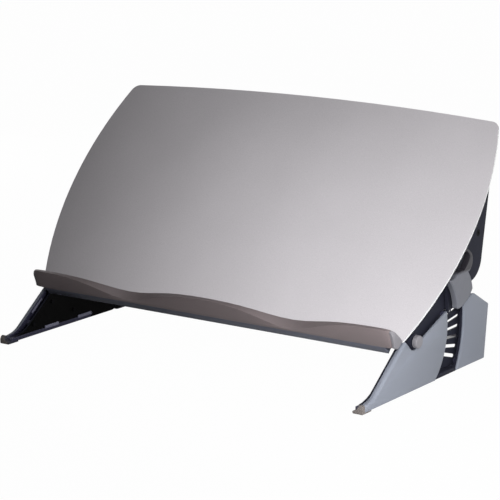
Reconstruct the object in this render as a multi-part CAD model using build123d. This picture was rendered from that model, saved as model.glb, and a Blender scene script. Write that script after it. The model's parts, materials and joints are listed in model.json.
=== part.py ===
from build123d import *
import os
from math import acos, atan2, cos, degrees, exp, hypot, radians, sin

os.makedirs("parts", exist_ok=True)

# ---------------------------------------------------------------------------
# Desk-top document slope: two feet, a tilting cradle between them, a gliding
# platform with a page lip, and a detent lever at each side.
#
# Axes: +X to the side of the drawn foot, +Y to the back, +Z up, millimetres.
# The right-hand half is drawn; the left-hand half is its mirror image.
# Foot outlines are drawn in the Y-Z plane, with Y counted from the toe.
# ---------------------------------------------------------------------------

# Driving dimensions
SPAN = 500.0             # over the outer faces of the two feet
TILT = 47.9              # slope of the platform at its steepest stop, degrees
PITCH = 5.84             # angle between two detent slots, degrees
STEPS = 6                # slots below the steepest one
PIVOT = (104.0, 57.0)    # tilt axis, Y and Z
SURFACE = 21.0           # tilt axis to the top face of the platform
BELOW = 13.3             # tilt axis to the platform's lower edge, down the slope
PANEL_LENGTH = 287.3     # lower edge to upper corners, up the slope
PANEL_HALF_LOW = 249.6   # half width at the lower edge
PANEL_HALF_MID = 278.7   # half width at the middle
PANEL_HALF_TOP = 256.4   # half width at the upper corners
PANEL_CROWN = 9.5        # how far the upper edge arches up

# Layers of the right foot, from the inside to the outside
PLATE_X = (238.0, 240.4)   # slotted side plate
WALL_X = (241.0, 243.4)    # side wall of the tilting cradle
COVER_X = (244.0, SPAN / 2)
HANDLE_X = (251.0, 258.0)

TOE_Y = -2.0             # front of the rubber toe
BACK_Y = 280.12          # rearmost edge, the underside of the platform's crown
ORIGIN_Y = (TOE_Y + BACK_Y) / 2

# Detent quadrant, radii about the tilt axis
FRONT_ARC = 73.2         # rear edge of the front cover
CHANNEL = (78.5, 85.5)   # arc channel that the pawl pin runs along
SLOT_END = 117.0         # outer end of the slots
SLOT_WIDTH = 4.0
REAR_ARC = 110.5         # front edge of the rear cover
CANT = 6.0               # slots lean this much from the radius, so that load draws the pin in
TOP_SLOT = 12.74         # angle of the slot for the steepest tilt, degrees above the horizon

PAWL_R = 1.3             # pawl pin
PAWL_ARM = 34.0          # lever hinge to pawl pin
PAWL_TRAVEL = 10.8       # from the channel to its seat in a slot
PIVOT_PIN_R = 4.0
HINGE_PIN_R = 3.0
RUNNING = 0.05           # radial clearance of a pin in its bearing

# Platform section, counted out from the tilt axis
PANEL_T = 1.4
HEM_T = 0.8
RAIL_N = (3.5, 11.0)     # cross rails
TRACK_N = (11.0, 17.2)   # glide tracks
TRACK_X = 150.0

up = (cos(radians(TILT)), sin(radians(TILT)))      # Y and Z of one step up the slope
out = (-sin(radians(TILT)), cos(radians(TILT)))    # Y and Z of one step out of it


# ---------------------------------------------------------------------------
# Frames and small helpers
# ---------------------------------------------------------------------------

def slope_point(s, n):
    """Y and Z of a point s up the slope and n out of it, from the tilt axis."""
    return (PIVOT[0] + s * up[0] + n * out[0], PIVOT[1] + s * up[1] + n * out[1])


def polar(r, angle):
    """Y and Z of a point at radius r about the tilt axis."""
    return (PIVOT[0] + r * cos(radians(angle)), PIVOT[1] + r * sin(radians(angle)))


def side_plane(x):
    """Y-Z plane at x, looking along +X."""
    return Plane(origin=(x, 0, 0), x_dir=(0, 1, 0), z_dir=(1, 0, 0))


def slope_side_plane(x):
    """Plane at x with its axes up the slope and out of it, from the tilt axis."""
    return Plane(origin=(x, *PIVOT), x_dir=(0, *up), z_dir=(1, 0, 0))


def slope_face_plane(n):
    """Plane parallel to the platform, n out from the tilt axis: axes X and up the slope."""
    return Plane(origin=(0, *slope_point(0, n)), x_dir=(1, 0, 0), z_dir=(0, *out))


def slab(sketch, x0, x1):
    """A Y-Z outline made solid from x0 to x1."""
    return extrude(side_plane(x0) * sketch, amount=x1 - x0)


def slope_bar(sketch, x0, x1):
    """An outline in slope axes made solid from x0 to x1."""
    return extrude(slope_side_plane(x0) * sketch, amount=x1 - x0)


def rod(y, z, r, x0, x1):
    """A round bar along X."""
    return slab(Pos(y, z) * Circle(r), x0, x1)


def polygon(*points):
    return make_face(Polyline(*points, close=True))


def socket_screw(place, head_r, shank_r, socket_r, tip, face):
    """Screw along X whose round head, with a hexagon socket, lies flush with face."""
    head = rod(*place, head_r, face - 1.2, face)
    socket = slab(Pos(*place) * RegularPolygon(socket_r, 6), face - 0.7, face + 1)
    return head - socket + rod(*place, shank_r, tip, face - 1.2)


def hexagon_screw(place, head_r, shank_r, seat, tip):
    """Screw along X with a hexagon head on the inner side of seat."""
    head = slab(Pos(*place) * RegularPolygon(head_r, 6), seat - 1.6, seat)
    return head + rod(*place, shank_r, seat, tip)


def other_side(part):
    return mirror(part, about=Plane.YZ)


parts = {}


def keep(name, *solids):
    """Store one node, moved to the origin under the middle of the object."""
    moved = [Pos(0, -ORIGIN_Y, 0) * solid for solid in solids]
    parts[name] = moved[0] if len(moved) == 1 else Compound(children=moved)


def keep_pair(name, solid):
    keep(name + "_right", solid)
    keep(name + "_left", other_side(solid))


# ---------------------------------------------------------------------------
# Detent geometry
# ---------------------------------------------------------------------------

def slot_line(angle, t):
    """A point on a slot's centre line, t outward from its pitch circle of radius 99."""
    y, z = polar(99.0, angle)
    lean = radians(angle + CANT)
    return (y + t * cos(lean), z + t * sin(lean))


pin_seat = slot_line(TOP_SLOT, -6.0)
pin_free = slot_line(TOP_SLOT, -6.0 - PAWL_TRAVEL)
lean = radians(TOP_SLOT + CANT)
middle = ((pin_seat[0] + pin_free[0]) / 2, (pin_seat[1] + pin_free[1]) / 2)
arm = (PAWL_ARM ** 2 - (PAWL_TRAVEL / 2) ** 2) ** 0.5
HINGE = (middle[0] - arm * sin(lean), middle[1] + arm * cos(lean))


def quadrant_cutouts():
    """The arc channel and the seven slots that open off it."""
    low = TOP_SLOT - STEPS * PITCH - 5.5
    high = TOP_SLOT + 0.5
    mid_r = (CHANNEL[0] + CHANNEL[1]) / 2
    half = (CHANNEL[1] - CHANNEL[0]) / 2
    start, mid, end = (polar(mid_r, a) for a in (low, (low + high) / 2, high))
    cut = trace(ThreePointArc(start, mid, end), 2 * half) + Pos(*start) * Circle(half)
    cut += Pos(*end) * Circle(half)
    for step in range(STEPS + 1):
        angle = TOP_SLOT - step * PITCH
        inner = slot_line(angle, mid_r - 99.0)
        tip = slot_line(angle, SLOT_END - 99.0 - SLOT_WIDTH / 2)
        cut += trace(Line(inner, tip), SLOT_WIDTH) + Pos(*tip) * Circle(SLOT_WIDTH / 2)
    return cut


# ---------------------------------------------------------------------------
# Foot
# ---------------------------------------------------------------------------

NOTCH_R = 10.5
FRONT_CORNER = (86.0, 60.0)
EDGE = ((30.0, 17.4), FRONT_CORNER)      # straight stretch of the foot's front edge
RECESS = 5.5                             # side plate's edge behind the cover's front edge
SKIN = 2.2                               # thickness of the front cover's side
RIM_TOP = 6.4                            # upper edge of the rim along the bottom
FLOOR_Z = 1.5                            # underside of the covers, the pads reach down to 0
FRONT_BOSSES = ((45.0, 15.5), (80.0, 36.0), (120.0, 18.0))
REAR_BOSSES = ((211.5, 9.6), (228.0, 9.6))
TABS = (77.5, 140.0)                     # tabs on the rim that hold the plate's lower edge
CORE_X = (COVER_X[0], 247.2)             # frame under the rear cover
TIE_BAR = (246.0, 27.0)
TIE_R = 4.5


def front_cover_outline():
    """Side view of the front cover: toe, front edge, pivot notch, top edge and rear arc."""
    corner = (FRONT_CORNER[0] - PIVOT[0], FRONT_CORNER[1] - PIVOT[1])
    to_corner = degrees(atan2(corner[1], corner[0]))
    notch_in = to_corner + degrees(acos(NOTCH_R / hypot(*corner)))
    notch_out = 310.0
    arc_top = 14.5
    arc_low = -44.0
    nose = (4.0, 8.0)
    lines = [
        Line((4.0, FLOOR_Z), nose),
        Line(nose, (15.0, 9.8)),
        ThreePointArc((15.0, 9.8), (23.0, 12.7), EDGE[0]),
        Line(*EDGE),
        Line(FRONT_CORNER, polar(NOTCH_R, notch_in)),
        ThreePointArc(polar(NOTCH_R, notch_in), polar(NOTCH_R, (notch_in + notch_out) / 2),
                      polar(NOTCH_R, notch_out)),
        Line(polar(NOTCH_R, notch_out), (125.0, 57.0)),
        Line((125.0, 57.0), polar(FRONT_ARC, arc_top)),
        ThreePointArc(polar(FRONT_ARC, arc_top), polar(FRONT_ARC, (arc_top + arc_low) / 2),
                      polar(FRONT_ARC, arc_low)),
        Line(polar(FRONT_ARC, arc_low), (151.5, FLOOR_Z)),
        Line((151.5, FLOOR_Z), (4.0, FLOOR_Z)),
    ]
    return make_face(Wire(lines))


def edge_inset(t):
    """The foot's straight front edge, moved t into the foot."""
    (y0, z0), (y1, z1) = EDGE
    length = hypot(y1 - y0, z1 - z0)
    dy, dz = (z1 - z0) / length * t, -(y1 - y0) / length * t
    return (y0 + dy, z0 + dz), (y1 + dy, z1 + dz)


def edge_tab():
    """Tab inside the shell, behind the front edge."""
    (y0, z0), (y1, z1) = edge_inset(2.2)
    (y2, z2), (y3, z3) = edge_inset(4.4)
    near, far = 0.30, 0.63
    return polygon((y0 + near * (y1 - y0), z0 + near * (z1 - z0)),
                   (y0 + far * (y1 - y0), z0 + far * (z1 - z0)),
                   (y2 + far * (y3 - y2), z2 + far * (z3 - z2)),
                   (y2 + near * (y3 - y2), z2 + near * (z3 - z2)))


def front_cover():
    """Shell with a soft front edge, open along its top, with a rim below and screw bosses."""
    outline = front_cover_outline()
    cover = slab(outline, *COVER_X)
    inside = offset(outline, amount=-2.4, kind=Kind.INTERSECTION)
    open_top = polygon((126.5, 52.5), (171.0, 69.0), (168.0, 82.0), (121.0, 64.0))
    cover -= slab(inside + open_top, COVER_X[0] - 1, COVER_X[1] - SKIN)
    rim = outline & polygon((0, 0), (170, 0), (170, RIM_TOP), (0, RIM_TOP))
    cover += slab(rim, PLATE_X[0], COVER_X[0])
    cover += slab(edge_tab(), COVER_X[0] - 1.0, COVER_X[1] - SKIN + 0.3)
    outer = cover.faces().sort_by(Axis.X)[-1]
    crest = [e for e in outer.edges() if e.center().Z > 7.0 and e.center().Y < FRONT_CORNER[0]]
    cover = fillet(crest, 3.4)
    for y, z in FRONT_BOSSES:
        boss = rod(y, z, 4.0, PLATE_X[1], COVER_X[1] - SKIN)
        cover += boss - rod(y, z, 1.5, PLATE_X[1] - 1, COVER_X[1] - 3.4)
    for y in TABS:
        tab = Pos(y, RIM_TOP + 0.9) * Rectangle(25.0, 3.6)
        cover += slab(tab, PLATE_X[0] - 1.4, PLATE_X[0])
    return cover


def rear_cover_outline():
    low, high = -30.0, 9.5
    top_front, top, back_top = (233.0, 84.0), (239.0, 83.2), (272.5, 64.8)
    lines = [
        ThreePointArc(polar(REAR_ARC, low), polar(REAR_ARC, (low + high) / 2),
                      polar(REAR_ARC, high)),
        Line(polar(REAR_ARC, high), top_front),
        Line(top_front, top),
        Line(top, back_top),
        Line(back_top, (265.5, FLOOR_Z)),
        Line((265.5, FLOOR_Z), polar(REAR_ARC, low)),
    ]
    return make_face(Wire(lines))


def rear_cover():
    """Outer cover over the rear frame of the foot."""
    cover = slab(rear_cover_outline(), CORE_X[1], COVER_X[1])
    outer = cover.faces().sort_by(Axis.X)[-1]
    cover = chamfer(outer.edges(), 0.9)
    for y, z in REAR_BOSSES:
        boss = rod(y, z, 3.2, PLATE_X[1], CORE_X[1])
        cover += boss - rod(y, z, 1.5, PLATE_X[1] - 1, CORE_X[1] - 0.6)
    return cover


def rear_core():
    """Frame under the rear cover, with a rim along the bottom that carries the side plate."""
    outline = offset(rear_cover_outline(), amount=-0.5, kind=Kind.INTERSECTION)
    core = slab(outline, *CORE_X)
    inside = offset(outline, amount=-2.4, kind=Kind.INTERSECTION)
    core -= slab(inside, CORE_X[0] - 1, CORE_X[1] + 1)
    low = polygon((190, 0), (280, 0), (280, RIM_TOP), (190, RIM_TOP))
    core += slab(outline & low, PLATE_X[0], CORE_X[0])
    for y, z in REAR_BOSSES:
        core -= rod(y, z, 3.2, PLATE_X[1], CORE_X[1] + 1)
        core -= rod(y, z, 1.6, PLATE_X[0] - 1, CORE_X[1] + 1)
    return core


def slotted_plate():
    """Side plate with the detent quadrant, inside both covers of a foot."""
    low, high = edge_inset(RECESS)
    front = polygon((10.0, 6.6), (17.0, 7.4), (26.0, 9.8), low, high, PIVOT, polar(70, 12),
                    (170.0, 6.6))
    sector = polygon(PIVOT, polar(74, 19.0), polar(118, 19.0), (246.0, 76.0), (264.0, 62.0),
                     (259.0, 6.6), (198.0, 6.6), (196.0, FLOOR_Z), (152.4, FLOOR_Z),
                     (157.4, 6.0), (157.6, 6.6), (120.0, 6.6))
    outline = front + sector + Pos(*PIVOT) * Circle(12)
    outline -= polygon(PIVOT, polar(72.5, 40), polar(72.5, 19.0), polar(70, 12))
    outline -= polygon(PIVOT, polar(200, 40), polar(200, 19.0))
    outline += Pos(*PIVOT) * Circle(12)
    plate = slab(outline - quadrant_cutouts(), *PLATE_X)
    plate -= rod(*PIVOT, PIVOT_PIN_R, PLATE_X[0] - 1, PLATE_X[1] + 1)
    for y, z in FRONT_BOSSES + REAR_BOSSES:
        plate -= rod(y, z, 1.7, PLATE_X[0] - 1, PLATE_X[1] + 1)
    plate -= rod(*TIE_BAR, 2.1, PLATE_X[0] - 1, PLATE_X[1] + 1)
    plate -= rod(*TIE_BAR, 3.8, PLATE_X[1] - 1.3, PLATE_X[1] + 1)
    return plate


def cover_screws():
    """Screws from the inside of the plate into the bosses of the covers."""
    return [hexagon_screw(place, 2.7, 1.5, PLATE_X[0], COVER_X[0] + 2)
            for place in FRONT_BOSSES + REAR_BOSSES]


def toe():
    """Rubber toe that caps the front end of the foot."""
    side = polygon((TOE_Y + 1.0, 0), (17.0, 0), (17.0, FLOOR_Z), (4.0, FLOOR_Z), (4.0, 8.0),
                   (2.6, 9.6), (0.4, 9.2), (TOE_Y, 6.0), (TOE_Y, 1.2))
    block = slab(side, PLATE_X[0], COVER_X[1])
    slope = Plane(origin=(0, TOE_Y - 1, 0), x_dir=(1, 0, 0), z_dir=(0, -1, 0))
    corner = make_face(Polyline((PLATE_X[0] - 1, 2.4), (PLATE_X[0] - 1, 12), (244.5, 12),
                                (244.5, 9.0), (243.0, 5.6), close=True))
    return block - extrude(slope * corner, amount=-8.0)


def rear_pad():
    """Rubber pad under the rear of the foot, set back from the cover's edges."""
    pad = extrude(Pos(242.2, 233.0) * RectangleRounded(7.4, 54.0, 3.0), amount=FLOOR_Z)
    return chamfer(pad.faces().sort_by(Axis.Z)[0].edges(), 0.4)


def pivot_pin():
    """Pin through the side plate that the cradle turns on."""
    head = rod(*PIVOT, 6.5, PLATE_X[0] - 2.0, PLATE_X[0])
    socket = slab(Pos(*PIVOT) * RegularPolygon(2.5, 6), PLATE_X[0] - 3, PLATE_X[0] - 0.8)
    return head - socket + rod(*PIVOT, PIVOT_PIN_R, PLATE_X[0], CAP_X[0] + 3.0)


CAP_X = (251.4, 257.0)
CAP_R = 7.2


def pivot_cap():
    """Round cap on the outer end of the pivot pin."""
    cap = rod(*PIVOT, CAP_R, *CAP_X)
    cap = chamfer(cap.faces().sort_by(Axis.X)[-1].edges(), 0.8)
    return cap - rod(*PIVOT, PIVOT_PIN_R, CAP_X[0] - 1, CAP_X[0] + 3.0)


def tie_bar():
    """Steel rod that holds the two feet at their distance, tapped at both ends."""
    half = PLATE_X[0]
    bore = rod(*TIE_BAR, 2.0, half - 10, half + 1)
    return rod(*TIE_BAR, TIE_R, -half, half) - bore - other_side(bore)


tie_screw = socket_screw(TIE_BAR, 3.6, 2.0, 1.4, PLATE_X[0] - 9, PLATE_X[1])

keep_pair("front_cover", front_cover())
keep_pair("rear_cover", rear_cover())
keep_pair("rear_core", rear_core())
keep_pair("slotted_plate", slotted_plate())
keep_pair("toe", toe())
keep_pair("rear_pad", rear_pad())
keep_pair("pivot_pin", pivot_pin())
keep_pair("pivot_cap", pivot_cap())
keep("rear_tie_bar", tie_bar())
keep("tie_bar_screws", tie_screw, other_side(tie_screw))
keep("cover_screws", *cover_screws(), *[other_side(s) for s in cover_screws()])


# ---------------------------------------------------------------------------
# Tilting cradle
# ---------------------------------------------------------------------------

WALL_TOP = 16.5          # upper edge of the cradle walls, out from the tilt axis
HUB_R = 8.5
RAILS = ((20.0, 50.0), (130.0, 160.0), (226.0, 256.0))
RAIL_T = 1.5
BRACE = slope_point(170.0, -50.0)
BRACE_R = 7.0


def rail_holes(s0, s1):
    """Centres of the two screws at each end of a rail."""
    return [slope_point(s, 6.3) for s in (s0 + 6.0, s1 - 6.0)]


def cradle_wall():
    """Side wall: hub on the tilt axis, deep rear corner, seats for rails and lever hinge."""
    hub = Pos(*PIVOT) * Circle(12.0)
    top_back = slope_point(262.0, WALL_TOP)
    edge = [
        Line(slope_point(-9.0, WALL_TOP - 6), slope_point(-4.0, WALL_TOP)),
        Line(slope_point(-4.0, WALL_TOP), top_back),
        ThreePointArc(top_back, (279.2, 224.0), (278.4, 196.0)),
        Line((278.4, 196.0), (264.7, 121.0)),
        ThreePointArc((264.7, 121.0), (258.0, 105.0), (243.0, 96.5)),
        Line((243.0, 96.5), (222.0, 90.0)),
        Line((222.0, 90.0), (199.0, 80.4)),
        Line((199.0, 80.4), (179.0, 75.4)),
        Line((179.0, 75.4), (109.0, 46.0)),
        Line((109.0, 46.0), slope_point(-9.0, WALL_TOP - 6)),
    ]
    outline = make_face(Wire(edge)) + hub
    wall = slab(outline, *WALL_X)
    wall += rod(*PIVOT, HUB_R, WALL_X[1], CAP_X[0] - 0.5)
    wall -= rod(*PIVOT, PIVOT_PIN_R + RUNNING, WALL_X[0] - 1, CAP_X[0])
    wall -= rod(*HINGE, HINGE_PIN_R, WALL_X[0] - 1, WALL_X[1] + 1)
    for s0, s1 in RAILS:
        for place in rail_holes(s0, s1):
            wall -= rod(*place, 2.0, WALL_X[0] - 1, WALL_X[1] + 1)
    wall -= rod(*BRACE, 2.6, WALL_X[0] - 1, WALL_X[1] + 1)
    wall -= rod(*BRACE, 4.2, WALL_X[1] - 1.3, WALL_X[1] + 1)
    return wall


def cross_rail(s0, s1):
    """Pressed channel across the cradle, open below, with a closing tab at each end."""
    n0, n1 = RAIL_N
    half = WALL_X[0] - 0.1
    body = slope_bar(polygon((s0, n0), (s1, n0), (s1, n1), (s0, n1)), -half, half)
    inner = polygon((s0 + RAIL_T, n0 - 1), (s1 - RAIL_T, n0 - 1), (s1 - RAIL_T, n1 - RAIL_T),
                    (s0 + RAIL_T, n1 - RAIL_T))
    body -= slope_bar(inner, -half + RAIL_T, half - RAIL_T)
    for place in rail_holes(s0, s1):
        body -= rod(*place, 2.0, -half - 1, half + 1)
    return body


def rail_screws():
    """Screws from inside the rails' end tabs into the cradle walls."""
    seat = WALL_X[0] - 0.1 - RAIL_T
    return [hexagon_screw(place, 2.9, 1.9, seat, WALL_X[1] - 0.2)
            for s0, s1 in RAILS for place in rail_holes(s0, s1)]


def brace():
    """Tube between the deep rear corners of the cradle walls."""
    half = WALL_X[0] - 0.1
    bar = rod(*BRACE, BRACE_R, -half, half) - rod(*BRACE, BRACE_R - 1.5, -half + 12, half - 12)
    bore = rod(*BRACE, 2.5, half - 10, half + 1)
    return bar - bore - other_side(bore)


brace_screw = socket_screw(BRACE, 4.0, 2.5, 1.5, WALL_X[0] - 9, WALL_X[1])


TRACK_S = (14.0, 264.0)
TRACK_HALF = 13.0


def glide_track():
    """C-shaped track with its mouth to the platform and a stop at each end."""
    n0, n1 = TRACK_N
    wall = 1.5
    mid_s = (TRACK_S[0] + TRACK_S[1]) / 2
    length = TRACK_S[1] - TRACK_S[0]
    track = extrude(slope_face_plane(n0) * Pos(TRACK_X, mid_s) * Rectangle(2 * TRACK_HALF, length),
                    amount=n1 - n0)
    hollow = Pos(TRACK_X, mid_s) * Rectangle(2 * (TRACK_HALF - wall), length - 6.0)
    track -= extrude(slope_face_plane(n0 + 1.2) * hollow, amount=n1 - n0 - 2.4)
    mouth = Pos(TRACK_X, mid_s) * Rectangle(12.0, length - 6.0)
    return track - extrude(slope_face_plane(n0 + 1.2) * mouth, amount=10)


def hinge_pin():
    """Pin pressed into the cradle wall that the lever turns on."""
    return rod(*HINGE, HINGE_PIN_R, WALL_X[0], HANDLE_X[1] - 2.5)


keep_pair("cradle_wall", cradle_wall())
for rail_name, (rail_s0, rail_s1) in zip(("front_rail", "middle_rail", "top_rail"), RAILS):
    keep(rail_name, cross_rail(rail_s0, rail_s1))
keep("rail_screws", *rail_screws(), *[other_side(s) for s in rail_screws()])
keep("cradle_brace", brace())
keep("brace_screws", brace_screw, other_side(brace_screw))
keep_pair("glide_track", glide_track())
keep_pair("lever_hinge_pin", hinge_pin())


# ---------------------------------------------------------------------------
# Detent lever
# ---------------------------------------------------------------------------

ARM_X = (244.5, 248.0)
TAB_X = (250.6, HANDLE_X[1])     # finger tab, clear of the rear cover at the flattest tilt


def body_outline():
    """Lever seen from the side: leaf-shaped body."""
    lines = [
        ThreePointArc((185.2, 80.6), (186.4, 77.3), (189.4, 76.5)),
        ThreePointArc((189.4, 76.5), (204.6, 81.3), (219.4, 94.0)),
        ThreePointArc((219.4, 94.0), (215.4, 105.8), (208.5, 115.6)),
        ThreePointArc((208.5, 115.6), (195.0, 119.0), (180.5, 113.8)),
        ThreePointArc((180.5, 113.8), (172.6, 112.5), (165.0, 113.2)),
        ThreePointArc((165.0, 113.2), (178.4, 98.0), (185.2, 80.6)),
    ]
    leaf = make_face(Wire(lines))
    return fillet(leaf.vertices(), 1.5)


def tab_outline():
    """Finger tab seen from the side: a thin blade that curls forward."""
    lines = [
        ThreePointArc((208.5, 115.6), (217.0, 127.4), (210.8, 138.0)),
        ThreePointArc((210.8, 138.0), (205.6, 141.3), (199.6, 142.8)),
        Line((199.6, 142.8), (199.2, 140.2)),
        ThreePointArc((199.2, 140.2), (206.6, 137.6), (210.2, 132.6)),
        ThreePointArc((210.2, 132.6), (203.5, 122.6), (190.5, 116.4)),
        Line((190.5, 116.4), (208.5, 115.6)),
    ]
    return make_face(Wire(lines))


def lever_handle():
    """Handle outside the covers: body with a bevelled edge and a curled finger tab."""
    body = slab(body_outline(), *HANDLE_X)
    body = chamfer(body.faces().sort_by(Axis.X)[-1].edges(), 1.2)
    handle = body + slab(tab_outline(), *TAB_X)
    return handle - rod(*HINGE, HINGE_PIN_R + RUNNING, TAB_X[0] - 1, HANDLE_X[1] - 2.0)


def lever_arm():
    """Steel arm with the lever's hub, between the covers, that holds the pawl pin."""
    plate = trace(Line(HINGE, pin_free), 6.0) + Pos(*pin_free) * Circle(3.0)
    arm = slab(plate, *ARM_X) + rod(*HINGE, 6.5, ARM_X[0], HANDLE_X[0])
    arm -= rod(*HINGE, HINGE_PIN_R + RUNNING, ARM_X[0] - 1, HANDLE_X[0] + 1)
    return arm - rod(*pin_free, PAWL_R, ARM_X[0] - 1, ARM_X[1] + 1)


def pawl_pin():
    """Pin pressed into the arm that runs in the channel and the slots of the side plate."""
    return rod(*pin_free, PAWL_R, PLATE_X[0] - 0.6, ARM_X[1] - 0.3)


keep_pair("lever_handle", lever_handle())
keep_pair("lever_arm", lever_arm())
keep_pair("pawl_pin", pawl_pin())


# ---------------------------------------------------------------------------
# Platform
# ---------------------------------------------------------------------------

def panel_outline(inset=0.0):
    """Barrel-sided sheet with an arched upper edge, drawn inset from its own edge."""
    low = -BELOW + inset
    top = -BELOW + PANEL_LENGTH - inset
    mid = (low + top) / 2
    half_low, half_mid, half_top = (w - inset for w in (PANEL_HALF_LOW, PANEL_HALF_MID,
                                                        PANEL_HALF_TOP))
    edges = [
        Line((-half_low, low), (half_low, low)),
        ThreePointArc((half_low, low), (half_mid, mid), (half_top, top)),
        ThreePointArc((half_top, top), (0, top + PANEL_CROWN), (-half_top, top)),
        ThreePointArc((-half_top, top), (-half_mid, mid), (-half_low, low)),
    ]
    return make_face(Wire(edges))


def platform_panel():
    """Sheet steel panel with its edge hemmed under, drawn flat and then tilted."""
    panel = extrude(panel_outline(), amount=PANEL_T + HEM_T)
    corners = panel.edges().filter_by(Axis.Z)
    panel = fillet(corners.filter_by(lambda e: e.center().Y > 0), 12.0)
    panel = fillet(panel.edges().filter_by(Axis.Z).filter_by(lambda e: e.center().Y < 0), 4.0)
    panel -= extrude(panel_outline(9.0), amount=HEM_T)
    return slope_face_plane(SURFACE - PANEL_T - HEM_T).location * panel


RUNNER_S = (26.0, 254.0)


def glide_runner():
    """T-shaped runner under the platform that slides in the track."""
    mid_s = (RUNNER_S[0] + RUNNER_S[1]) / 2
    length = RUNNER_S[1] - RUNNER_S[0]
    under = SURFACE - PANEL_T
    foot_n = (TRACK_N[0] + 1.6, TRACK_N[1] - 1.6)
    foot = extrude(slope_face_plane(foot_n[0]) * Pos(TRACK_X, mid_s) * Rectangle(22.0, length),
                   amount=foot_n[1] - foot_n[0])
    web = extrude(slope_face_plane(foot_n[0]) * Pos(TRACK_X, mid_s) * Rectangle(10.0, length),
                  amount=under - foot_n[0])
    return foot + web


# Lip: a wave with a scoop each side of the middle, where a finger lifts the page
LIP_HALF = 250.0
LIP_DEPTH = 14.0         # down the slope
BASE_HALF = 236.5        # the lip's carrier passes between the feet
SCOOP_X = 112.0
SCOOP_WIDTH = 38.0
END_CAP = 4.0


def scoop(x):
    """How much of the scoop's full depth the lip has at x, from 0 to 1."""
    return exp(-0.5 * ((abs(x) - SCOOP_X) / SCOOP_WIDTH) ** 2)


def lip_section(x):
    """Corners of the lip's section at x: s down the slope, n out from the panel's face."""
    end = max(0.0, abs(x) - (LIP_HALF - END_CAP - 16.0)) / 16.0
    tuck = 1 - (1 - min(end, 1.0) ** 2) ** 0.5
    crest = 27.5 - 17.3 * scoop(x) - 1.8 * tuck
    crease = 31.0 - 19.5 * scoop(x) - 3.9 * tuck
    drop = -4.5 - 7.5 * scoop(x) + 1.0 * tuck
    points = [(0.6, 0.2), (0.6, crest - 3.0), (-0.4, crest), (drop, crease),
              (-LIP_DEPTH + 0.4 + 1.2 * tuck, 11.0), (-LIP_DEPTH + 1.0 * tuck, 8.4),
              (-1.4, 8.4), (-1.4, 0.2)]
    return [(-BELOW + s, SURFACE + n) for s, n in points]


def lip():
    """Soft lip, lofted along its length through straight-sided sections."""
    body_half = LIP_HALF - END_CAP - 0.05
    ends = [body_half, body_half - 1.5, body_half - 4.0, body_half - 8.0]
    count = 29
    inner = body_half - 16.0
    stations = [inner * (1 - 2 * i / (count - 1)) for i in range(count)]
    stations += ends + [-x for x in ends]
    faces = []
    for x in sorted(stations):
        faces.append(slope_side_plane(x) * polygon(*lip_section(x)))
    return loft(faces, ruled=True)


def cap_shoulder():
    """What is cut off a lip's end cap so that its outer end curves in to the crest."""
    plane = Plane(origin=(0, *slope_point(-BELOW, SURFACE)), x_dir=(1, 0, 0),
                  z_dir=(0, -up[0], -up[1]))
    inner = LIP_HALF - END_CAP + 0.3
    corner = make_face(Wire([
        ThreePointArc((LIP_HALF, 13.0), (LIP_HALF - 0.9, 21.5), (inner, 27.2)),
        Line((inner, 27.2), (inner, 32.0)),
        Line((inner, 32.0), (LIP_HALF + 2, 32.0)),
        Line((LIP_HALF + 2, 32.0), (LIP_HALF + 2, 13.0)),
        Line((LIP_HALF + 2, 13.0), (LIP_HALF, 13.0)),
    ]))
    return extrude(plane * corner, amount=30, both=True)


def lip_end_cap():
    """Cap that closes the lip's end, down to the panel's face."""
    corners = ((1.6, 0.4), (1.7, 7.0), (0.9, 17.6), (-0.5, 25.0), (-3.4, 27.0), (-10.4, 13.0),
               (-13.0, 8.6), (-10.8, 2.4), (-1.4, 0.4))
    outline = polygon(*[(-BELOW + s, SURFACE + n) for s, n in corners])
    cap = slope_bar(outline, LIP_HALF - END_CAP, LIP_HALF)
    cap = chamfer(cap.faces().sort_by(Axis.X)[-1].edges(), 1.2)
    return cap - cap_shoulder()


def lip_carrier():
    """Open-ended tube under the lip that joins it to the panel and runs between the feet."""
    top = -BELOW
    s0, s1 = top - LIP_DEPTH, top - 1.6
    n0, n1 = SURFACE - 4.6, SURFACE + 8.2
    bar = polygon((s0, n0), (top, n0), (top, SURFACE), (s1, SURFACE + 0.2), (s1, n1), (s0, n1))
    carrier = slope_bar(bar, -BASE_HALF, BASE_HALF)
    hollow = polygon((s0 + 2.2, n0 + 2.2), (s1 - 2.2, n0 + 2.2), (s1 - 2.2, n1 - 2.2),
                     (s0 + 2.2, n1 - 2.2))
    return carrier - slope_bar(hollow, -BASE_HALF - 1, BASE_HALF + 1)


keep("platform_panel", platform_panel())
keep_pair("glide_runner", glide_runner())
keep("page_lip", lip())
keep("lip_carrier", lip_carrier())
keep_pair("lip_end_cap", lip_end_cap())

for name, solid in parts.items():
    export_step(solid, f"parts/{name}.step")
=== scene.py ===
import json
import math

import bpy
from mathutils import Matrix, Vector

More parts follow.
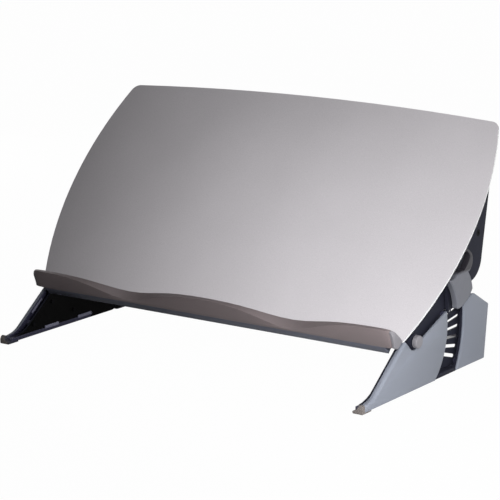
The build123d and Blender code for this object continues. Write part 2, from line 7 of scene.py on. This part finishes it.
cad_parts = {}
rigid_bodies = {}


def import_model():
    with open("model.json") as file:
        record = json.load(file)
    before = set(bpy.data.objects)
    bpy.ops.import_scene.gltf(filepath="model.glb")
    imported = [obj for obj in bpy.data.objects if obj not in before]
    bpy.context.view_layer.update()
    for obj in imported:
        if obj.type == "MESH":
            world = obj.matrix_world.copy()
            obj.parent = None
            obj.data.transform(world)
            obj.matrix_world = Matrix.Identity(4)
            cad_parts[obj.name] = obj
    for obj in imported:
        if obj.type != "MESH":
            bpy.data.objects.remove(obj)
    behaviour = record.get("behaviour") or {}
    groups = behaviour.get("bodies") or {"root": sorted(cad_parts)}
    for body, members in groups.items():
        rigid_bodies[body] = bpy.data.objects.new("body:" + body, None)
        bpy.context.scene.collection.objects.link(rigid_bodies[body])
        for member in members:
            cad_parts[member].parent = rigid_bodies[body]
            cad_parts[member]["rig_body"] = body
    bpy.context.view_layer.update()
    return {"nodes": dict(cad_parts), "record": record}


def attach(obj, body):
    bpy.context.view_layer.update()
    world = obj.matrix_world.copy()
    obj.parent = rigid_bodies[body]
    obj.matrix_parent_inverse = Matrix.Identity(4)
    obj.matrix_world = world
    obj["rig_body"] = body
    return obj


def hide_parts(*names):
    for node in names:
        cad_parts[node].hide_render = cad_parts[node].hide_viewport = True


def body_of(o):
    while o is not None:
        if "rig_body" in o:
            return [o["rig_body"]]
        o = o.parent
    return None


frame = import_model()
nodes = frame["nodes"]

MM = 0.001
TILT = math.radians(47.9)                               # the panel's slope
OUT = Vector((0.0, -math.sin(TILT), math.cos(TILT)))    # the panel's normal

# Places on the feet, as distances from the middle of the object.
SKIN_X = 247.7 * MM      # inner face of the covers' outer skin
RIM_X = 243.9 * MM       # just inboard of this lies the rim of a cover
LEDGE_X = 243.0 * MM     # end face of the tab behind the front edge
LEDGE_NEAR = 0.4 * MM
TAB_X = 237.9 * MM       # just inboard of this lie the tabs on the bottom rim

# The sloping front edge of a foot, in the plane of its side.
EDGE_NORMAL = Vector((0.0, -0.6055, 0.7959))
EDGE_POINT = Vector((0.0, -109.06, 17.4)) * MM
EDGE_DEPTH = 3.2 * MM    # what lies deeper behind the edge than this is in shade

TURNED_IN = -0.05        # the product of place and normal, below which a face looks inward

TAB_Z = 117.0 * MM       # the lever's finger tab starts at this height
TAB_BLEND = 1.5 * MM

SILL_LOW = Vector((238.4, 12.2, 1.5)) * MM
SILL_HIGH = Vector((249.2, 60.5, 6.2)) * MM
SILL_ROLL = 0.5 * MM

# The reflector that the panel mirrors: 0.9 m off, where its middle reflects the camera.
PANEL_CENTRE = Vector((0.0, 0.0365, 0.1675))
CARD_CENTRE = PANEL_CENTRE + Vector((-0.554, -0.299, 0.777)) * 0.9
CARD_DARK, CARD_BRIGHT = -0.55, 0.45    # ends of the reflector's ramp


# ---------------------------------------------------------------------------
# Shader node groups
# ---------------------------------------------------------------------------

def new_group(name, inputs, outputs):
    """An empty shader group with float or colour sockets."""
    group = bpy.data.node_groups.new(name, "ShaderNodeTree")
    for label, kind, value in inputs:
        socket = group.interface.new_socket(label, in_out="INPUT", socket_type=kind)
        socket.default_value = value
    for label, kind in outputs:
        group.interface.new_socket(label, in_out="OUTPUT", socket_type=kind)
    return group, group.nodes.new("NodeGroupInput"), group.nodes.new("NodeGroupOutput")


def speckle_group():
    """Fine speckle: a value round 0.5 for colour, and a bump normal."""
    group, start, end = new_group(
        "speckle",
        [("Scale", "NodeSocketFloat", 900.0), ("Depth", "NodeSocketFloat", 0.05)],
        [("Value", "NodeSocketFloat"), ("Normal", "NodeSocketVector")])
    link = group.links.new
    coords = group.nodes.new("ShaderNodeTexCoord")
    noise = group.nodes.new("ShaderNodeTexNoise")
    noise.inputs["Detail"].default_value = 2.0
    bump = group.nodes.new("ShaderNodeBump")
    bump.inputs["Distance"].default_value = 0.0002
    link(coords.outputs["Object"], noise.inputs["Vector"])
    link(start.outputs["Scale"], noise.inputs["Scale"])
    link(noise.outputs["Fac"], bump.inputs["Height"])
    link(start.outputs["Depth"], bump.inputs["Strength"])
    link(noise.outputs["Fac"], end.inputs["Value"])
    link(bump.outputs["Normal"], end.inputs["Normal"])
    return group


def cloud_group():
    """Broad soft unevenness, a value round 0.5."""
    group, start, end = new_group(
        "cloud", [("Scale", "NodeSocketFloat", 6.0)], [("Value", "NodeSocketFloat")])
    link = group.links.new
    coords = group.nodes.new("ShaderNodeTexCoord")
    noise = group.nodes.new("ShaderNodeTexNoise")
    noise.inputs["Detail"].default_value = 3.0
    link(coords.outputs["Object"], noise.inputs["Vector"])
    link(start.outputs["Scale"], noise.inputs["Scale"])
    link(noise.outputs["Fac"], end.inputs["Value"])
    return group


def ramp_node(tree, source, low, high, bottom=0.0, top=1.0):
    """bottom below low, top above high and a straight ramp between."""
    ramp = tree.nodes.new("ShaderNodeMapRange")
    ramp.inputs["From Min"].default_value = low
    ramp.inputs["From Max"].default_value = high
    ramp.inputs["To Min"].default_value = bottom
    ramp.inputs["To Max"].default_value = top
    tree.links.new(source, ramp.inputs["Value"])
    return ramp.outputs["Result"]


def math_node(tree, operation, first, second=None):
    """One step of arithmetic; the second term may be a number."""
    step = tree.nodes.new("ShaderNodeMath")
    step.operation = operation
    tree.links.new(first, step.inputs[0])
    if isinstance(second, float):
        step.inputs[1].default_value = second
    elif second is not None:
        tree.links.new(second, step.inputs[1])
    return step.outputs["Value"]


def inboard_shade_group():
    """Masks of the painted shade on a foot's inner faces, rim and bosses, and of the tabs on its
    two edges.

    Rim, Tab, Ledge and Skin are distances from the middle of the object, 0 for a mask
    not wanted.
    """
    group, start, end = new_group(
        "inboard",
        [(label, "NodeSocketFloat", 0.0) for label in ("Rim", "Tab", "Ledge", "Skin")],
        [("Inside", "NodeSocketFloat"), ("Tabs", "NodeSocketFloat")])
    coords = group.nodes.new("ShaderNodeTexCoord")
    place = group.nodes.new("ShaderNodeSeparateXYZ")
    facing = group.nodes.new("ShaderNodeSeparateXYZ")
    group.links.new(coords.outputs["Object"], place.inputs["Vector"])
    group.links.new(coords.outputs["Normal"], facing.inputs["Vector"])
    distance = math_node(group, "ABSOLUTE", place.outputs["X"])

    # Faces that look to the middle of the object: X of the place times X of the normal.
    outward = math_node(group, "MULTIPLY", place.outputs["X"], facing.outputs["X"])
    turned_in = math_node(group, "LESS_THAN", outward, TURNED_IN)

    # What stands inside the shell, well behind its front edge.
    across_edge = group.nodes.new("ShaderNodeVectorMath")
    across_edge.operation = "DOT_PRODUCT"
    across_edge.inputs[1].default_value = EDGE_NORMAL
    group.links.new(coords.outputs["Object"], across_edge.inputs[0])
    behind = math_node(group, "LESS_THAN", across_edge.outputs["Value"],
                       EDGE_POINT.dot(EDGE_NORMAL) - EDGE_DEPTH)
    in_shell = math_node(group, "LESS_THAN", distance, start.outputs["Skin"])
    core = math_node(group, "MULTIPLY", behind, in_shell)

    on_rim = math_node(group, "LESS_THAN", distance, start.outputs["Rim"])
    hidden = math_node(group, "MAXIMUM", turned_in, on_rim)
    group.links.new(math_node(group, "MAXIMUM", hidden, core), end.inputs["Inside"])

    from_ledge = math_node(group, "ABSOLUTE",
                           math_node(group, "SUBTRACT", distance, start.outputs["Ledge"]))
    on_ledge = math_node(group, "MULTIPLY", turned_in,
                         math_node(group, "LESS_THAN", from_ledge, LEDGE_NEAR))
    on_tabs = math_node(group, "LESS_THAN", distance, start.outputs["Tab"])
    group.links.new(math_node(group, "MAXIMUM", on_tabs, on_ledge), end.inputs["Tabs"])
    return group


def thin_edge_group():
    """Mask of the cut edge of the panel's sheet, whose faces look along the slope, for its
    painted highlight.
    """
    group, _, end = new_group("thin_edge", [], [("Edge", "NodeSocketFloat")])
    coords = group.nodes.new("ShaderNodeTexCoord")
    facing = group.nodes.new("ShaderNodeVectorMath")
    facing.operation = "DOT_PRODUCT"
    facing.inputs[1].default_value = OUT
    group.links.new(coords.outputs["Normal"], facing.inputs[0])
    level = math_node(group, "ABSOLUTE", facing.outputs["Value"])
    group.links.new(math_node(group, "LESS_THAN", level, 0.5), end.inputs["Edge"])
    return group


def height_group():
    """Mask of what lies above Level on an upright piece, for the painted shade on the lever's
    finger tab.
    """
    group, start, end = new_group(
        "height", [("Level", "NodeSocketFloat", 0.1)], [("Above", "NodeSocketFloat")])
    coords = group.nodes.new("ShaderNodeTexCoord")
    place = group.nodes.new("ShaderNodeSeparateXYZ")
    group.links.new(coords.outputs["Object"], place.inputs["Vector"])
    over = math_node(group, "SUBTRACT", place.outputs["Z"], start.outputs["Level"])
    group.links.new(ramp_node(group, over, -TAB_BLEND, TAB_BLEND), end.inputs["Above"])
    return group


SPECKLE = speckle_group()
CLOUD = cloud_group()
INBOARD_SHADE = inboard_shade_group()
THIN_EDGE_HIGHLIGHT = thin_edge_group()
HEIGHT = height_group()


def place_group(tree, group, **values):
    """Adds a group to a material's tree, with the values of its inputs."""
    node = tree.nodes.new("ShaderNodeGroup")
    node.node_tree = group
    for label, value in values.items():
        node.inputs[label].default_value = value
    return node


# ---------------------------------------------------------------------------
# Materials
# ---------------------------------------------------------------------------

# Sockets of a colour Mix node, which share their names with those of its other kinds.
MIX_A, MIX_B, MIX_RESULT = 6, 7, 2


def finish_material(name, colour, roughness, metallic=0.0, specular=0.5,
                    grain=(1600.0, 0.04), vary=0.05, cloud=0.03):
    """A Principled material whose colour carries a fine grain and a broad unevenness.

    grain is the scale and the bump strength of the grain, vary and cloud are how far
    the grain and the unevenness change the colour.
    """
    material = bpy.data.materials.new(name)
    material.use_nodes = True
    tree = material.node_tree
    shader = tree.nodes["Principled BSDF"]
    shader.inputs["Roughness"].default_value = roughness
    shader.inputs["Metallic"].default_value = metallic
    shader.inputs["Specular IOR Level"].default_value = specular
    scale, depth = grain
    speckle = place_group(tree, SPECKLE, Scale=scale, Depth=depth)
    broad = place_group(tree, CLOUD, Scale=5.0)
    fine = ramp_node(tree, speckle.outputs["Value"], 0.25, 0.75, 1.0 - vary, 1.0 + vary)
    wide = ramp_node(tree, broad.outputs["Value"], 0.3, 0.7, 1.0 - cloud, 1.0 + cloud)
    scaled = tree.nodes.new("ShaderNodeVectorMath")
    scaled.operation = "SCALE"
    scaled.inputs[0].default_value = colour
    link = tree.links.new
    link(math_node(tree, "MULTIPLY", fine, wide), scaled.inputs["Scale"])
    link(scaled.outputs["Vector"], shader.inputs["Base Color"])
    link(speckle.outputs["Normal"], shader.inputs["Normal"])
    return material


def layer_colour(material, mask, colour):
    """Lays another colour over the material where the mask is 1."""
    tree = material.node_tree
    base = tree.nodes["Principled BSDF"].inputs["Base Color"]
    mix = tree.nodes.new("ShaderNodeMix")
    mix.data_type = "RGBA"
    tree.links.new(mask, mix.inputs["Factor"])
    tree.links.new(base.links[0].from_socket, mix.inputs[MIX_A])
    mix.inputs[MIX_B].default_value = (*colour, 1.0)
    tree.links.new(mix.outputs[MIX_RESULT], base)


silver = finish_material("platform_silver", (0.73, 0.70, 0.73), 0.34, metallic=0.9,
                         grain=(1400.0, 0.10), vary=0.08, cloud=0.05)
cover_grey = finish_material("foot_grey", (0.217, 0.235, 0.281), 0.42,
                             grain=(1800.0, 0.04), vary=0.04)
black_steel = finish_material("black_steel", (0.021, 0.022, 0.033), 0.5, specular=0.06,
                              grain=(1200.0, 0.08), vary=0.1, cloud=0.05)
lever_grey = finish_material("lever_grey", (0.155, 0.16, 0.184), 0.4, specular=0.3,
                             grain=(1600.0, 0.05))
rubber = finish_material("foot_rubber", (0.165, 0.147, 0.14), 0.7,
                         grain=(1200.0, 0.15), vary=0.1, cloud=0.06)
MATERIALS = {
    "platform_silver": silver,
    "foot_grey": cover_grey,
    "black_steel": black_steel,
    "lever_grey": lever_grey,
    "lip_brown": finish_material("lip_brown", (0.195, 0.161, 0.164), 0.42, specular=0.35,
                                 grain=(1500.0, 0.06), vary=0.06, cloud=0.05),
    "cap_grey": finish_material("cap_grey", (0.2, 0.193, 0.21), 0.45),
    "carrier_grey": finish_material("carrier_grey", (0.12, 0.126, 0.16), 0.4,
                                    specular=0.15, vary=0.04),
    "pin_steel": finish_material("pin_steel", (0.55, 0.55, 0.56), 0.3, metallic=1.0,
                                 cloud=0.04),
    # Partly painted shade: the screw heads are black oxide, and near black so that they sink into
    # the shade inside the covers.
    "screw_steel": finish_material("screw_steel", (0.006, 0.006, 0.007), 0.5, specular=0.04,
                                   vary=0.08, cloud=0.04),
    "runner_nylon": finish_material("runner_nylon", (0.68, 0.67, 0.62), 0.5,
                                    grain=(1200.0, 0.04), vary=0.03),
    "foot_rubber": rubber,
}

# Painted shade: the inner sides of the feet, the covers' rims and bosses, and the inward faces of
# the black steel and the toes are coloured dark, as shade; the tabs are laid back over it in a
# grey near the cover's own.
inboard = place_group(cover_grey.node_tree, INBOARD_SHADE,
                      Rim=RIM_X, Tab=TAB_X, Ledge=LEDGE_X, Skin=SKIN_X)
layer_colour(cover_grey, inboard.outputs["Inside"], (0.045, 0.045, 0.08))
layer_colour(cover_grey, inboard.outputs["Tabs"], (0.22, 0.22, 0.3))
for material, shade in ((black_steel, (0.003, 0.003, 0.003)), (rubber, (0.035, 0.035, 0.05))):
    painted_inner_shade = place_group(material.node_tree, INBOARD_SHADE)
    layer_colour(material, painted_inner_shade.outputs["Inside"], shade)

# Painted shade: the lever's finger tab, above TAB_Z, is coloured near black.
finger_tab_shade = place_group(lever_grey.node_tree, HEIGHT, Level=TAB_Z)
layer_colour(lever_grey, finger_tab_shade.outputs["Above"], (0.028, 0.026, 0.032))

# Painted highlight: the cut edge of the panel's sheet is coloured pale and made hardly metallic,
# so it shows as a bright line.
cut_edge_highlight = place_group(silver.node_tree, THIN_EDGE_HIGHLIGHT)
layer_colour(silver, cut_edge_highlight.outputs["Edge"], (0.85, 0.85, 0.85))
silver.node_tree.links.new(
    ramp_node(silver.node_tree, cut_edge_highlight.outputs["Edge"], 0.0, 1.0, 0.9, 0.1),
    silver.node_tree.nodes["Principled BSDF"].inputs["Metallic"])

SLOT_OF = {entry["node"]: entry["material_slot"] for entry in frame["record"]["subparts"]}


def dress(obj, material):
    """Gives an object one material all over."""
    obj.data.materials.clear()
    obj.data.materials.append(material)


for node_name, slot_name in SLOT_OF.items():
    dress(nodes[node_name], MATERIALS[slot_name])


# ---------------------------------------------------------------------------
# Moulded pieces with softened edges, in the place of the plain solids
# ---------------------------------------------------------------------------

def softened(node_name, width, segments=2, sharp=28.0, smooth=35.0):
    """Puts a copy of a node's solid, its sharp edges rolled over, in the node's place.

    width is the roll's width, sharp the least angle in degrees of an edge that is rolled,
    and smooth the least angle of one that still shows after shading.
    """
    source = nodes[node_name]
    bpy.ops.object.select_all(action="DESELECT")
    piece = bpy.data.objects.new(node_name + "_moulded", source.data.copy())
    scene.collection.objects.link(piece)
    bpy.context.view_layer.objects.active = piece
    piece.select_set(True)
    bpy.ops.object.mode_set(mode="EDIT")
    bpy.ops.mesh.select_all(action="SELECT")
    bpy.ops.mesh.remove_doubles(threshold=0.00002)
    bpy.ops.mesh.dissolve_limited(angle_limit=math.radians(0.5))
    bpy.ops.object.mode_set(mode="OBJECT")
    roll = piece.modifiers.new("roll", "BEVEL")
    roll.width = width
    roll.segments = segments
    roll.limit_method = "ANGLE"
    roll.angle_limit = math.radians(sharp)
    bpy.ops.object.modifier_apply(modifier="roll")
    bpy.ops.object.shade_smooth_by_angle(angle=math.radians(smooth))
    dress(piece, MATERIALS[SLOT_OF[node_name]])
    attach(piece, body_of(source)[0])
    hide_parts(node_name)


scene = bpy.context.scene
for side in ("left", "right"):
    softened(f"front_cover_{side}", 0.35 * MM)
    softened(f"rear_cover_{side}", 0.35 * MM)
    softened(f"lever_handle_{side}", 0.5 * MM, segments=3)
    softened(f"toe_{side}", 0.6 * MM, segments=3)
    softened(f"lip_end_cap_{side}", 0.5 * MM, segments=3)
    softened(f"pivot_cap_{side}", 0.4 * MM)
softened("lip_carrier", 0.5 * MM)


def sill(side_sign, name):
    """Black bar that closes the foot's bottom edge between its two covers."""
    middle = (SILL_LOW + SILL_HIGH) / 2
    bpy.ops.object.select_all(action="DESELECT")
    bpy.ops.mesh.primitive_cube_add(size=1.0, location=(side_sign * middle.x, middle.y, middle.z))
    bar = bpy.context.object
    bar.name = name
    bar.scale = SILL_HIGH - SILL_LOW
    bpy.ops.object.transform_apply(location=True, rotation=True, scale=True)
    bpy.ops.object.mode_set(mode="EDIT")
    bpy.ops.mesh.select_all(action="SELECT")
    bpy.ops.mesh.bevel(offset=SILL_ROLL, segments=2, affect="EDGES")
    bpy.ops.object.mode_set(mode="OBJECT")
    bpy.ops.object.shade_smooth_by_angle(angle=math.radians(35.0))
    dress(bar, black_steel)
    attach(bar, "base")


sill(1, "foot_sill_right")
sill(-1, "foot_sill_left")
softened("page_lip", 0.9 * MM, segments=3, sharp=33.0, smooth=60.0)


# ---------------------------------------------------------------------------
# Stage: floor, world, lamps, camera
# ---------------------------------------------------------------------------

def camera_white(tree, shader_output, share=1.0, mirrored=1.0):
    """Shows white to the camera and to mirrors, and the given shader to the light.

    share is how much of the surface turns white, and mirrored how much of that white the
    mirrors see, a number or a mask.
    """
    rays = tree.nodes.new("ShaderNodeLightPath")
    glossy = math_node(tree, "MULTIPLY", rays.outputs["Is Glossy Ray"], mirrored)
    seen = math_node(tree, "MAXIMUM", rays.outputs["Is Camera Ray"],
                     rays.outputs["Is Transmission Ray"])
    seen = math_node(tree, "MAXIMUM", seen, glossy)
    white = tree.nodes.new("ShaderNodeEmission")
    white.inputs["Color"].default_value = (1.0, 1.0, 1.0, 1.0)
    white.inputs["Strength"].default_value = 1.0
    mix = tree.nodes.new("ShaderNodeMixShader")
    link = tree.links.new
    link(math_node(tree, "MULTIPLY", seen, share), mix.inputs["Fac"])
    link(shader_output, mix.inputs[1])
    link(white.outputs["Emission"], mix.inputs[2])
    return mix.outputs["Shader"]


scene.view_settings.view_transform = "Standard"

world = bpy.data.worlds.new("studio")
scene.world = world
world.use_nodes = True
world_tree = world.node_tree
sky = world_tree.nodes["Background"]
sky.inputs["Color"].default_value = (0.93, 0.95, 1.0, 1.0)
sky.inputs["Strength"].default_value = 0.075
world_tree.links.new(camera_white(world_tree, sky.outputs["Background"], mirrored=0.75),
                     world_tree.nodes["World Output"].inputs["Surface"])

bpy.ops.object.select_all(action="DESELECT")
bpy.ops.mesh.primitive_plane_add(size=40.0, location=(0.0, 0.0, -0.2 * MM))
floor = bpy.context.object
floor.name = "floor"
floor_material = bpy.data.materials.new("floor_white")
floor_material.use_nodes = True
floor_tree = floor_material.node_tree
floor_shader = floor_tree.nodes["Principled BSDF"]
floor_shader.inputs["Base Color"].default_value = (0.5, 0.5, 0.5, 1.0)
floor_shader.inputs["Roughness"].default_value = 0.9
floor_coords = floor_tree.nodes.new("ShaderNodeTexCoord")
floor_place = floor_tree.nodes.new("ShaderNodeSeparateXYZ")
floor_tree.links.new(floor_coords.outputs["Object"], floor_place.inputs["Vector"])
# The photograph's reflections fade out to the left.
floor_mirrored = ramp_node(floor_tree, floor_place.outputs["X"], -0.1, 0.5)
floor_tree.links.new(
    camera_white(floor_tree, floor_shader.outputs["BSDF"], 0.985, floor_mirrored),
    floor_tree.nodes["Material Output"].inputs["Surface"])
floor.data.materials.append(floor_material)


def gradient_card(centre, facing, width, height, high, slant, twist):
    """A reflector with a soft ramp from black to high, seen only in reflections.

    slant is the ramp's direction and steepness, twist how much it turns along the card.
    """
    bpy.ops.object.select_all(action="DESELECT")
    bpy.ops.mesh.primitive_plane_add(size=1.0)
    card = bpy.context.object
    card.name = "gradient_card"
    card.scale = (width, height, 1.0)
    bpy.ops.object.transform_apply(location=False, rotation=False, scale=True)
    normal = (Vector(facing) - Vector(centre)).normalized()
    across = (Vector((1.0, 0.0, 0.0)) - normal * normal.x).normalized()
    card.matrix_world = Matrix.Translation(centre) @ Matrix(
        (across, normal.cross(across), normal)).transposed().to_4x4()
    material = bpy.data.materials.new("gradient_card")
    material.use_nodes = True
    tree = material.node_tree
    tree.nodes.clear()
    link = tree.links.new
    coords = tree.nodes.new("ShaderNodeTexCoord")
    spot = tree.nodes.new("ShaderNodeSeparateXYZ")
    link(coords.outputs["Object"], spot.inputs["Vector"])
    along = tree.nodes.new("ShaderNodeVectorMath")
    along.operation = "DOT_PRODUCT"
    along.inputs[1].default_value = slant
    link(coords.outputs["Object"], along.inputs[0])
    corner = math_node(tree, "MULTIPLY", spot.outputs["X"], spot.outputs["Y"])
    turned = math_node(tree, "MULTIPLY", corner, twist)
    level = ramp_node(tree, math_node(tree, "ADD", along.outputs["Value"], turned),
                      CARD_DARK, CARD_BRIGHT, 0.0, high)
    level.node.interpolation_type = "SMOOTHSTEP"
    glow = tree.nodes.new("ShaderNodeEmission")
    surface = tree.nodes.new("ShaderNodeOutputMaterial")
    link(level, glow.inputs["Strength"])
    link(glow.outputs["Emission"], surface.inputs["Surface"])
    card.data.materials.append(material)
    card.visible_camera = False
    card.visible_diffuse = False
    card.visible_shadow = False


gradient_card(CARD_CENTRE, PANEL_CENTRE, width=2.6, height=2.2, high=1.14,
              slant=(1.2, 0.82, 0.0), twist=2.8)


def area_lamp(name, place, target, width, height, power, spread=180.0, glossy=True):
    """A rectangular lamp aimed at a target, with its spread in degrees."""
    lamp = bpy.data.lights.new(name, "AREA")
    lamp.shape = "RECTANGLE"
    lamp.size = width
    lamp.size_y = height
    lamp.energy = power
    lamp.spread = math.radians(spread)
    holder = bpy.data.objects.new(name, lamp)
    scene.collection.objects.link(holder)
    holder.location = place
    aim = Vector(target) - Vector(place)
    holder.rotation_euler = aim.to_track_quat("-Z", "Y").to_euler()
    holder.visible_camera = False
    holder.visible_glossy = glossy


area_lamp("key", (0.75, -0.35, 0.95), (0.2, 0.0, 0.1), 0.5, 0.5, 1.3)
area_lamp("front", (0.55, -0.46, 0.26), (0.2, -0.05, 0.08), 0.25, 0.25, 0.9,
          spread=80.0, glossy=False)
area_lamp("side", (1.5, 0.35, 0.35), (0.25, 0.0, 0.06), 0.7, 0.6, 4.2)
area_lamp("left", (-1.5, 0.55, 0.22), (-0.25, 0.0, 0.06), 0.7, 0.4, 11.0,
          glossy=False)
area_lamp("back", (0.35, 1.5, 0.3), (0.0, 0.1, 0.1), 0.9, 0.6, 6.0, glossy=False)

# The camera was fitted to the photograph's corners.
AZIMUTH, ELEVATION, ROLL = (math.radians(angle) for angle in (34.58, 12.64, 0.14))
AIM = Vector((36.96, -39.06, 131.21)) * MM
DISTANCE = 2.35303
back = Vector((math.sin(AZIMUTH) * math.cos(ELEVATION),
               -math.cos(AZIMUTH) * math.cos(ELEVATION),
               math.sin(ELEVATION)))
level = Vector((math.cos(AZIMUTH), math.sin(AZIMUTH), 0.0))
above = back.cross(level)
right = math.cos(ROLL) * level + math.sin(ROLL) * above
top = -math.sin(ROLL) * level + math.cos(ROLL) * above
camera = bpy.data.objects.new("camera", bpy.data.cameras.new("camera"))
camera.data.sensor_width = 36.0
camera.data.lens = 150.236
camera.matrix_world = Matrix.Translation(AIM + back * DISTANCE) @ Matrix(
    (right, top, back)).transposed().to_4x4()
scene.collection.objects.link(camera)
scene.camera = camera
